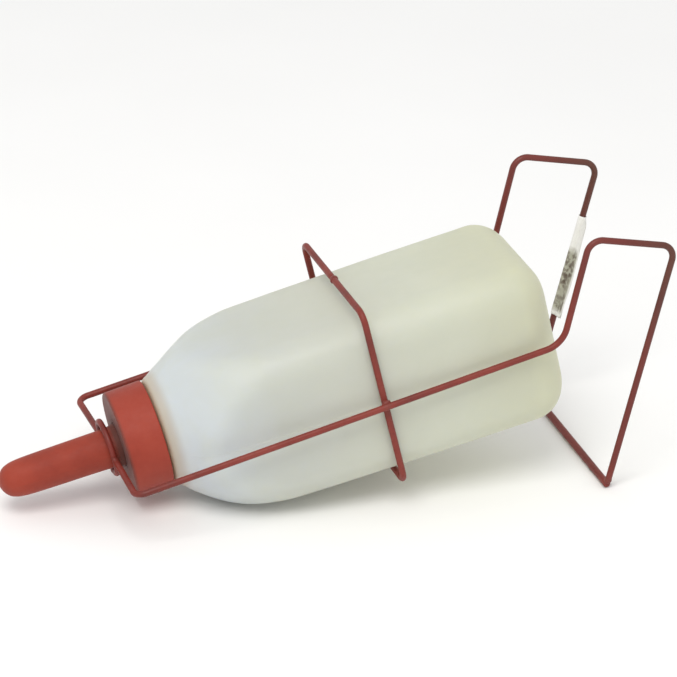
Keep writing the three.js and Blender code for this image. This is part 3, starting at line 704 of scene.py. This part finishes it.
# --------------------------------------------------------------- the paper tag
def tag():
    top = Vector((HOOK_OUT[0] + RIGHT_HOOK_OFF[0], RACK_HALF, HOOK_OUT[1] + RIGHT_HOOK_OFF[1]))
    z = (Vector((HOOK_FOOT[0], RACK_HALF, HOOK_FOOT[1])) - top).normalized()
    x = Vector((0, -1, 0))
    y = z.cross(x).normalized()
    start = top + z * 37.0
    length, flag, wrap, thick = 70.0, 8.0, 2.62, 0.16
    stations = 60
    rings = []
    for i in range(stations + 1):
        t = i / stations
        zz = length * t
        # the sheet's edges are torn a little out of square and its corners curl
        reach = flag + wrap - 0.5 + 0.45 * noise.noise(Vector((zz * 0.09, 1.7, 0))) - 1.6 * max(0.0, 1 - min(t, 1 - t) * 22)
        curl = 0.50 * math.sin(zz * 0.10 + 0.6) + 0.9 * (max(0.0, 1 - t * 6) ** 2) - 0.8 * (max(0.0, 1 - (1 - t) * 6) ** 2)
        spread = 0.22 + 0.10 * noise.noise(Vector((zz * 0.12, 9.3, 0))) + 0.55 * (max(0.0, 1 - (1 - t) * 9) ** 2)
        rr = wrap + 0.06 * noise.noise(Vector((zz * 0.2, 4.4, 0)))
        line = []
        n_flat, n_round = 10, 26
        for k in range(n_flat):
            s = k / n_flat
            fx = reach + (rr * 0.95 - reach) * s
            w = (1 - s) ** 2
            line.append((fx, -spread * (0.6 + 0.4 * s) + curl * w))
        open_a = math.asin(min(0.9, spread / rr)) * 1.3
        for k in range(n_round + 1):
            f = -open_a - (2 * math.pi - 2 * open_a) * k / n_round
            line.append((rr * math.cos(f), rr * math.sin(f)))
        for k in range(n_flat):
            s = 1 - (k + 1) / n_flat
            fx = reach - 0.35 + (rr * 0.95 - reach + 0.35) * s
            w = (1 - s) ** 2
            line.append((fx, spread * (0.6 + 0.4 * s) + curl * w))
        # a thin closed outline round the sheet's middle line
        left, right = [], []
        m = len(line)
        for k in range(m):
            a, b = Vector(line[max(0, k - 1)]), Vector(line[min(m - 1, k + 1)])
            tt = (b - a).normalized()
            nn = Vector((-tt.y, tt.x))
            left.append(Vector(line[k]) + nn * thick / 2)
            right.append(Vector(line[k]) - nn * thick / 2)
        outline = left + right[::-1]
        rings.append([start + z * zz + x * p.x + y * p.y for p in outline])
    verts, faces = [], []
    n = len(rings[0])
    for r in rings:
        verts.extend(r)
    for i in range(len(rings) - 1):
        for k in range(n):
            k1 = (k + 1) % n
            faces.append((i * n + k, i * n + k1, (i + 1) * n + k1, (i + 1) * n + k))
    half = n // 2
    for e in (0, len(rings) - 1):
        for k in range(half - 1):
            a, b = e * n + k, e * n + k + 1
            c, d = e * n + n - 2 - k, e * n + n - 1 - k
            faces.append((a, d, c, b) if e == 0 else (a, b, c, d))
    return outward(verts, faces)


v, f = tag()
piece("tag_paper", v, f, RACK, PAPER, "rack", ["label_tag"])


# ------------------------------------------------------------------ the bottle
def square_radius(angle, a, r):
    c, s = abs(math.cos(angle)), abs(math.sin(angle))
    if s > c:
        c, s = s, c
    b = a - r
    if a * (s / c) <= b:
        return a / c
    return b * (c + s) + math.sqrt(max(0.0, b * b * (c + s) ** 2 - 2 * b * b + r * r))


def soft_min(p, q, k):
    h = max(k - abs(p - q), 0.0) / k
    return min(p, q) - h * h * k / 4


angles = [2 * math.pi * k / 176 for k in range(176)]
for centre in (0.0, math.pi):
    for dd in (0.0035, 0.0075, 0.0125, 0.02):
        angles += [(centre + dd) % (2 * math.pi), (centre - dd) % (2 * math.pi)]
angles = sorted(set(round(a, 7) for a in angles))


def thread(x, f, x0, turns, height, width):
    """How far a screw ridge stands at station x and turn angle f."""
    best = 0.0
    k = 0
    while True:
        turn = f + 2 * math.pi * k
        if turn > 2 * math.pi * turns:
            break
        u = turn / (2 * math.pi * turns)
        grow = min(1.0, min(u, 1 - u) * turns * 6 + 0.02)
        d = abs(x - (x0 - THREAD_PITCH * turns * u))
        w = width * (0.55 + 0.45 * grow) / 2
        flank = 1.0 if d <= w * 0.8 else max(0.0, 1 - (d - w * 0.8) / 0.55)
        best = max(best, height * grow * flank * flank * (3 - 2 * flank))
        k += 1
    return best


def section(x, a, r, dome, detail=1.0, lift=0.0, with_thread=False):
    k = shift_at(x)
    ring = []
    for f in angles:
        rho = dome if a is None else soft_min(dome, square_radius(f, a, r), 5)
        y, z = rho * math.cos(f), rho * math.sin(f)
        if with_thread:
            rho += thread(x, math.atan2(y, z) % (2 * math.pi), 26.2, THREAD_TURNS, THREAD_H, THREAD_W)
        if detail > 0 and x > 36:
            w = detail * min(1.0, (x - 36) / 20.0)
            p = Vector((x, y, z))
            # blown walls are never quite flat: a shallow, slow unevenness, inwards only
            rho -= w * (0.26 + 0.20 * noise.noise(p * 0.021 + Vector((3.3, 0, 0))) + 0.08 * noise.noise(p * 0.055))
            # the mould's parting line, down both sides
            rho += 0.17 * w * math.exp(-((z / 0.42) ** 2))
        y, z = rho * math.cos(f), rho * math.sin(f)
        push = lift
        ring.append(Vector((x + push, y + k * BODY_OFF[0], z + k * BODY_OFF[1])))
    return ring


def disc_ring(x, r, pinch=0.0):
    """A round ring on the base, with the pinch-off line left by the mould across it."""
    ring = []
    for f in angles:
        y, z = r * math.cos(f), r * math.sin(f)
        fade = max(0.0, min(1.0, (24.0 - r) / 4.0))
        ring.append(Vector((x + pinch * fade * math.exp(-((z / 0.55) ** 2)), y + BODY_OFF[0], z + BODY_OFF[1])))
    return ring


def bottle_mesh():
    rings = []
    push_x = BASE_X - BASE_PUSH
    centre = Vector((push_x + 0.6, BODY_OFF[0], BODY_OFF[1]))
    rings.append([centre])
    for r in (0.35, 0.8, 1.5, 2.5, 4, 6, 8.5, 11, 13.5, 16, 18.5, 20.5, 22, 23.2, 24.2):
        rings.append(disc_ring(push_x, r, 0.6))
    for t in (0.15, 0.35, 0.5, 0.65, 0.85):
        rings.append(disc_ring(push_x + BASE_PUSH * t * t * (3 - 2 * t), 24.8 + 3.4 * t))
    rings.append(disc_ring(BASE_X - 0.02, 28.8))
    steps = 16
    for i in range(steps + 1):
        t = math.pi / 2 * i / steps
        d = BASE_FILLET * (1 - math.sin(t))
        x = BASE_X - BASE_FILLET * (1 - math.cos(t))
        rings.append(section(x, body_at(x) - d, CORNER_R - 0.6 * d, 200, detail=i / steps))
    xs = list(np.arange(BASE_X - BASE_FILLET - 4, 126, -4.0)) + list(np.arange(124, 60, -1.6)) + list(np.arange(60, 36, -1.0))
    for x in xs:
        rings.append(section(x, body_at(x), CORNER_R, dome_at(x)))
    for x in list(np.arange(36, 32.5, -0.6)) + [32.3, 32.0, 31.85, 31.7, 31.55]:
        rings.append(section(x, None, 0, dome_at(x), detail=0))
    for x in np.arange(NECK_END_X, LIP_X + 1.0, -0.28):
        rings.append(section(x, None, 0, NECK_R, detail=0, with_thread=True))
    # the lip, rounded over into the bore
    for t in np.linspace(0, 1, 6):
        rings.append(section(LIP_X + 0.9 - 0.9 * math.sin(t * math.pi / 2), None, 0, NECK_R - 0.9 * (1 - math.cos(t * math.pi / 2)), detail=0))
    for t in np.linspace(0, 1, 5)[1:]:
        rings.append(section(LIP_X + 0.6 * (1 - math.cos(t * math.pi / 2)), None, 0, MOUTH_R + 0.6 - 0.6 * math.sin(t * math.pi / 2), detail=0))
    for x in (18, 22, 26, 30, 31.4):
        rings.append(section(x, None, 0, MOUTH_R, detail=0))
    for x, r in ((32.4, 26.6), (33.4, 28.6), (34.6, 31.0)):
        rings.append(section(x, None, 0, r, detail=0))
    for x in [37, 40, 44, 48, 52, 56, 60, 64, 68, 72, 76, 80, 84, 88, 92, 96, 104, 112, 130, 150, 180, 210, 240]:
        rings.append(section(x, body_at(x) - WALL, CORNER_R - WALL, dome_at(x - 0.6) - 1.3 * WALL, detail=0))
    steps = 8
    for i in range(steps, -1, -1):
        t = math.pi / 2 * i / steps
        fil = BASE_FILLET - WALL
        d = fil * (1 - math.sin(t))
        x = BASE_X - WALL - 0.4 - fil * (1 - math.cos(t))
        rings.append(section(x, body_at(x) - WALL - d, CORNER_R - WALL - 0.6 * d, 200, detail=0))
    rings.append(disc_ring(BASE_X - WALL - 0.42, 29.0))
    for r in (26.5, 18, 10, 4):
        rings.append(disc_ring(push_x - WALL - 0.4, r))
    rings.append([Vector((push_x - WALL - 0.4, BODY_OFF[0], BODY_OFF[1]))])
    return outward(*rings_to_mesh(rings))


v, f = bottle_mesh()
piece("bottle_shell", v, f, BOTTLE, BOTTLE_MAT, "bottle", ["bottle"])

# -------------------------------------------------------------------- the teat
flange_front = CAP_FRONT + CAP_FACE + GAP
flange_rear = flange_front + 2.9
outer = smooth_table([(-70.9, 1.6), (-70.5, 2.9), (-69.6, 5.1), (-67.6, 7.75), (-64.8, 9.8), (-60.5, 11.15), (-54.0, 11.8), (-42.0, 12.1), (-5.0, 12.5), (2.0, 12.75)])
prof = [(-70.6, 0.95), (-70.82, 1.15)]
for x in (-70.9, -70.8, -70.65, -70.4, -70.0, -69.5, -68.9, -68.2, -67.4, -66.4, -65.2, -63.8, -62, -60, -57.5, -54.5):
    prof.append((x, outer(x)))
for x in np.arange(-51.5, 2.1, 2.6):
    prof.append((float(x), outer(float(x))))
prof += [(3.2, 12.85), (4.4, 13.10), (5.4, 13.45), (6.2, 13.65), (7.0, 13.7), (9.6, 13.7), (10.15, 13.85), (flange_front, 14.35)]
prof += [(flange_front, 20.0), (flange_front, 28.5), (flange_front + 0.25, 28.9), (flange_front + 0.6, 29.0), (flange_rear - 0.6, 29.0), (flange_rear - 0.25, 28.9), (flange_rear, 28.5), (flange_rear, 12.4),
         (flange_rear - 0.4, 11.6), (12.0, 11.0), (9.0, 10.2), (6.0, 9.7), (2.0, 9.5), (-20.0, 9.2), (-45.0, 8.9), (-53.0, 8.4), (-58.0, 7.6), (-61.5, 6.3), (-64.0, 4.6), (-65.6, 2.9), (-66.5, 1.3), (-66.9, 1.0)]
v, f = lathe(prof, 128)
moved = []
for p in v:
    x, y, z = p
    r = math.hypot(y, z)
    if r > 1e-6 and -69.5 < x < 3.0 and r > 9.9:
        # moulding flash lines down both sides, and the wall's slight softness
        r2 = r + 0.13 * math.exp(-((z / 0.30) ** 2)) - 0.05 - 0.07 * (0.5 + 0.5 * noise.noise(Vector((x * 0.06, y * 0.09, z * 0.09))))
        y, z = y * r2 / r, z * r2 / r
    moved.append((x, y, z))
v, f = outward(moved, f)
piece("teat_rubber", v, f, BOTTLE, TEAT_MAT, "teat", ["teat"])

# ------------------------------------------------------------------ the collar
bore = CAP_R - CAP_WALL
prof = [
    (CAP_FRONT, CAP_HOLE_R), (CAP_FRONT, CAP_R - CAP_DRAFT), (CAP_REAR, CAP_R), (CAP_REAR, bore), (CAP_FRONT + CAP_FACE, bore), (CAP_FRONT + CAP_FACE, CAP_HOLE_R),
]
prof = rounded(prof, [0.5, 1.7, 0.8, 0.4, 0.6, 0.4])
fine = []
n = len(prof)
for i in range(n):
    p, q = prof[i], prof[(i + 1) % n]
    inner_wall = abs(p[1] - bore) < 0.01 and abs(q[1] - bore) < 0.01
    k = max(1, math.ceil(math.dist(p, q) / (0.28 if inner_wall else 3.0)))
    for j in range(k):
        fine.append((p[0] + (q[0] - p[0]) * j / k, p[1] + (q[1] - p[1]) * j / k))
v, f = lathe(fine, 160)
moved = []
for x, y, z in v:
    r = math.hypot(y, z)
    if abs(r - bore) < 0.01 and CAP_FRONT + CAP_FACE + 1 < x < CAP_REAR - 0.6:
        r2 = r - thread(x, math.atan2(y, z) % (2 * math.pi), 26.2 + THREAD_PITCH / 2, THREAD_TURNS, 1.4, THREAD_W)
        y, z = y * r2 / r, z * r2 / r
    elif r > CAP_R - CAP_DRAFT - 0.05:
        r2 = r - 0.05 - 0.05 * noise.noise(Vector((x * 0.11, y * 0.05, z * 0.05)))
        y, z = y * r2 / r, z * r2 / r
    moved.append((x, y, z))
v, f = outward(moved, f)
piece("collar_screw", v, f, BOTTLE, CAP_MAT, "cap", ["cap"])

# -------------------------------------------------------- floor, light, camera
def floor():
    m, nt, bsdf = node_material("studio_floor")
    vec = coords(nt)
    c = ramp(nt, noise_tex(nt, vec, 6.0, 2.0, 0.5), [(0.3, (0.925, 0.925, 0.92)), (0.7, (0.94, 0.94, 0.935))])
    nt.links.new(c, bsdf.inputs["Base Color"])
    bsdf.inputs["Roughness"].default_value = 0.9
    bsdf.inputs["Specular IOR Level"].default_value = 0.1
    mesh = bpy.data.meshes.new("floor")
    s = 12.0
    mesh.from_pydata([(-s, -s, 0), (s, -s, 0), (s, s, 0), (-s, s, 0)], [], [(0, 1, 2, 3)])
    obj = bpy.data.objects.new("floor", mesh)
    obj.location = (0, 0, -0.0004)
    mesh.materials.append(m)
    scene.collection.objects.link(obj)


floor()

world = bpy.data.worlds.new("studio")
scene.world = world
world.use_nodes = True
bg = world.node_tree.nodes["Background"]
bg.inputs["Color"].default_value = (1.0, 1.0, 1.0, 1.0)
bg.inputs["Strength"].default_value = 0.76


def area(name, at, look, size, power, color=(1, 1, 1)):
    light = bpy.data.lights.new(name, "AREA")
    light.shape = "DISK"
    light.size = size
    light.energy = power
    light.color = color
    obj = bpy.data.objects.new(name, light)
    scene.collection.objects.link(obj)
    obj.location = at
    obj.rotation_mode = "QUATERNION"
    obj.rotation_quaternion = (Vector(look) - Vector(at)).to_track_quat("-Z", "Y")


area("key", (-0.75, -1.1, 2.1), (0, 0, 0.06), 1.4, 30.0, (1.0, 0.985, 0.96))
area("fill", (1.4, -1.2, 1.0), (0, 0, 0.06), 1.6, 2.0, (0.96, 0.98, 1.0))

cam = bpy.data.cameras.new("camera")
cam.sensor_width = 36.0
cam.sensor_fit = "HORIZONTAL"
FOCAL_PX = 3669.683037256842
cam.lens = FOCAL_PX / 677 * 36.0
cam.clip_start, cam.clip_end = 0.05, 50.0
cam.dof.use_dof = False
cam_obj = bpy.data.objects.new("camera", cam)
scene.collection.objects.link(cam_obj)
az, el, roll = 0.20259325705721573, 0.5138445178936409, -0.23922571080803998
SCALE, DIST, OFF_R, OFF_U = 0.956, 2400.0, 9.947487796846545, 21.17370099374309
back = Vector((-math.sin(az) * math.cos(el), -math.cos(az) * math.cos(el), math.sin(el)))
right = (-back).cross(Vector((0, 0, 1))).normalized()
up = right.cross(-back)
r2 = right * math.cos(roll) + up * math.sin(roll)
u2 = -right * math.sin(roll) + up * math.cos(roll)
centre = (Vector((150, 0, 0)) + back * DIST + r2 * OFF_R + u2 * OFF_U) * SCALE
rot = Matrix((r2, u2, back)).transposed().to_4x4()
cam_obj.matrix_world = RACK @ Matrix.Translation(centre * 0.001) @ rot
scene.camera = cam_obj

bpy.context.view_layer.update()
